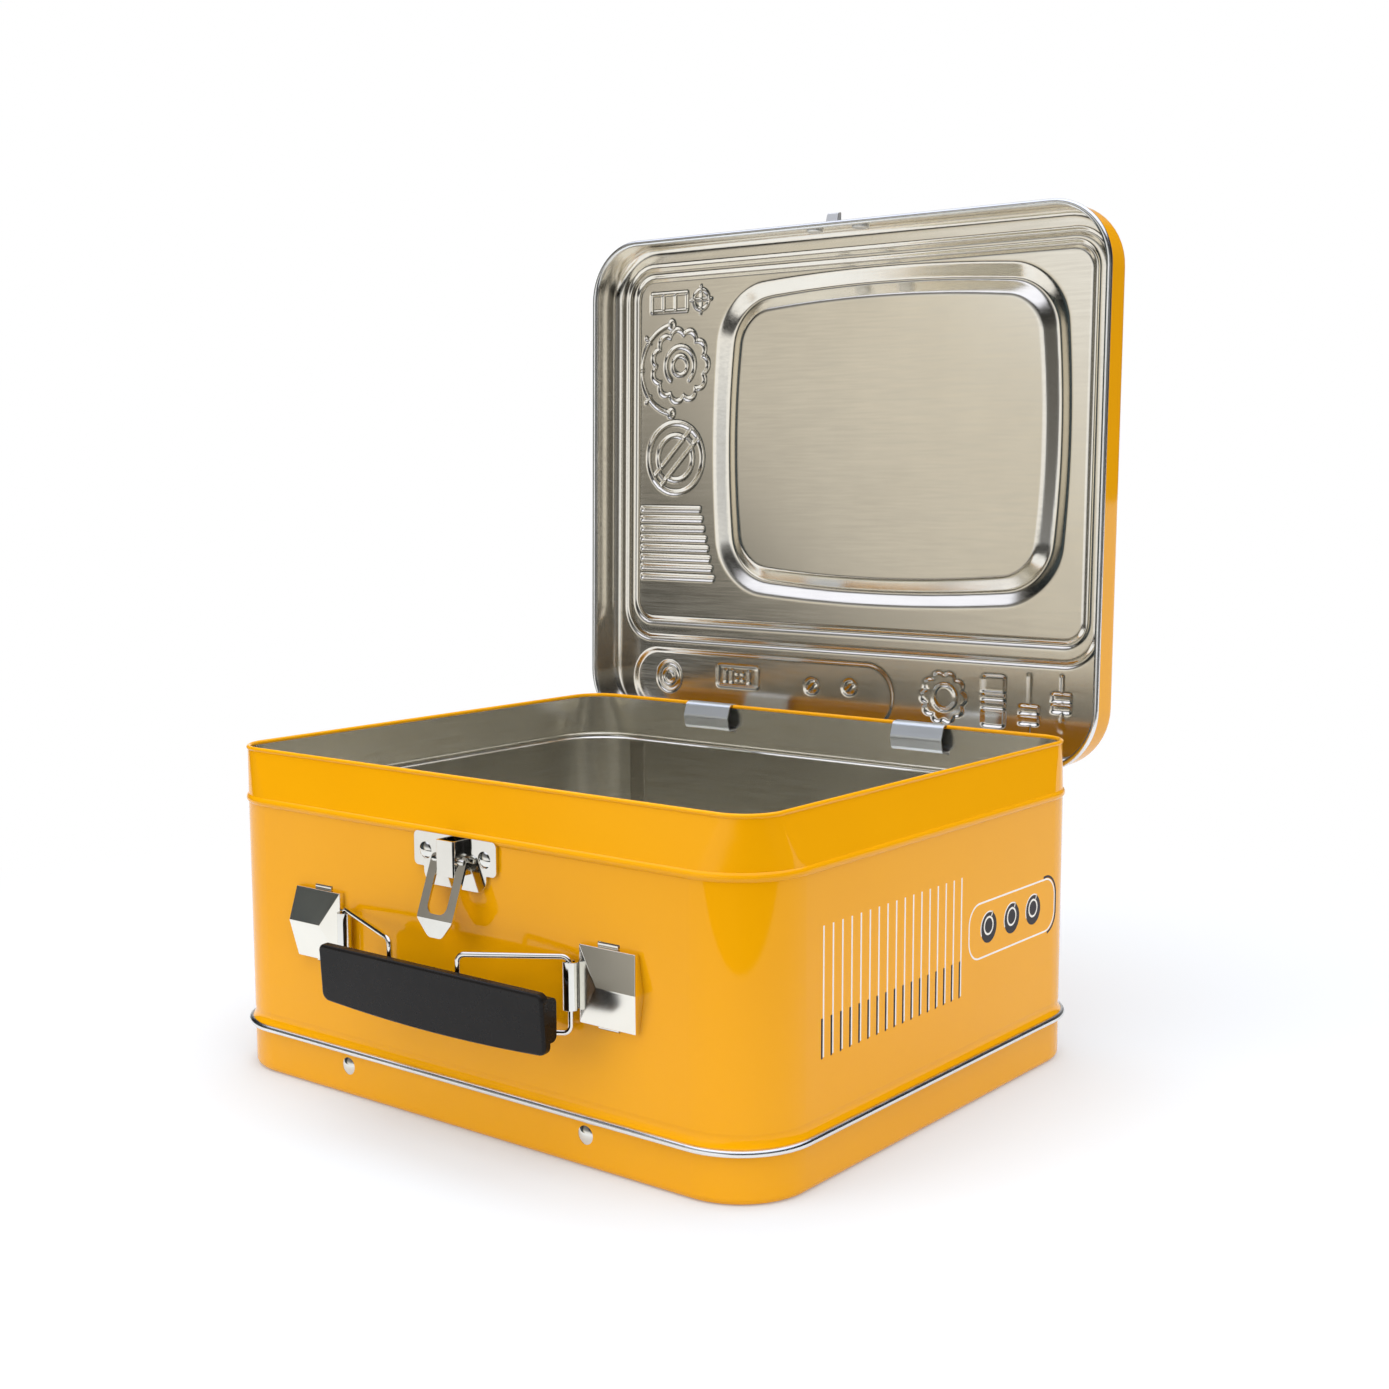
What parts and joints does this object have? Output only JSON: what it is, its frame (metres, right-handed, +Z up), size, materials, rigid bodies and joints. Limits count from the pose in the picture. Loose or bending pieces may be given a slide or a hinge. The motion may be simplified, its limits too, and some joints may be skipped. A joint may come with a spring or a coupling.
{
  "type": "metal lunch box",
  "caption": "Pressed-steel lunch box with a rounded body, hinged lid embossed like a small television front, snap latch and a folding wire-and-plastic carrying handle.",
  "frame": {"origin": "centre of the flat underside of the base", "axes": "+X along the front wall, +Y from the front wall with latch and handle to the rear wall with the hinges, +Z up"},
  "size_m": [0.215, 0.2166, 0.2762],
  "materials": {
    "body_paint": "golden yellow enamel outside, bare tinplate inside",
    "lid_paint": "golden yellow enamel outside, bare tinplate inside",
    "bare_tin": "bright bare tinplate",
    "plated_steel": "nickel-plated pressed steel",
    "grip_plastic": "black moulded plastic, satin gloss"
  },
  "bodies": {
    "body": {"body_shell": "body_paint", "base_pan": "body_paint", "base_seam_bead": "bare_tin", "base_rivets": "plated_steel", "latch_plate": "plated_steel", "latch_rivets": "plated_steel", "hinge_strap_left": "bare_tin", "hinge_strap_right": "bare_tin", "handle_bracket_left": "plated_steel", "handle_bracket_right": "plated_steel", "handle_cap_left": "plated_steel", "handle_cap_right": "plated_steel"},
    "lid": {"lid_pan": "lid_paint", "lid_rim_bead": "bare_tin", "lid_catch_plate": "plated_steel", "lid_catch_rivets": "plated_steel"},
    "clasp": {"latch_clasp": "plated_steel"},
    "left_link": {"handle_link_left": "plated_steel"},
    "right_link": {"handle_link_right": "plated_steel"},
    "grip": {"grip_front": "grip_plastic", "grip_back": "grip_plastic"}
  },
  "joints": [
    {"name": "lid_hinge", "type": "hinge", "parent": "body", "child": "lid", "pos_m": [0, 0.0913, 0.0898], "axis": [1, 0, 0], "range_deg": [0, 91]},
    {"name": "clasp_pivot", "type": "hinge", "parent": "body", "child": "clasp", "pos_m": [0.0005, -0.0926, 0.0793], "axis": [-1, 0, 0], "range_deg": [-15, 159.4]},
    {"name": "left_link_swing", "type": "hinge", "parent": "body", "child": "left_link", "pos_m": [-0.045, -0.09185, 0.051], "axis": [0, 0, -1], "range_deg": [-10, 42]},
    {"name": "right_link_swing", "type": "hinge", "parent": "body", "child": "right_link", "pos_m": [0.045, -0.09185, 0.051], "axis": [0, 0, 1], "range_deg": [-10, 42]},
    {"name": "grip_pivot", "type": "hinge", "parent": "left_link", "child": "grip", "pos_m": [-0.01357, -0.10286, 0.045], "axis": [0, 0, 1], "range_deg": [-10, 42]}
  ],
  "couplings": [
    {"joint": "right_link_swing", "follows": "left_link_swing", "ratio": 1},
    {"joint": "grip_pivot", "follows": "left_link_swing", "ratio": 1}
  ]
}
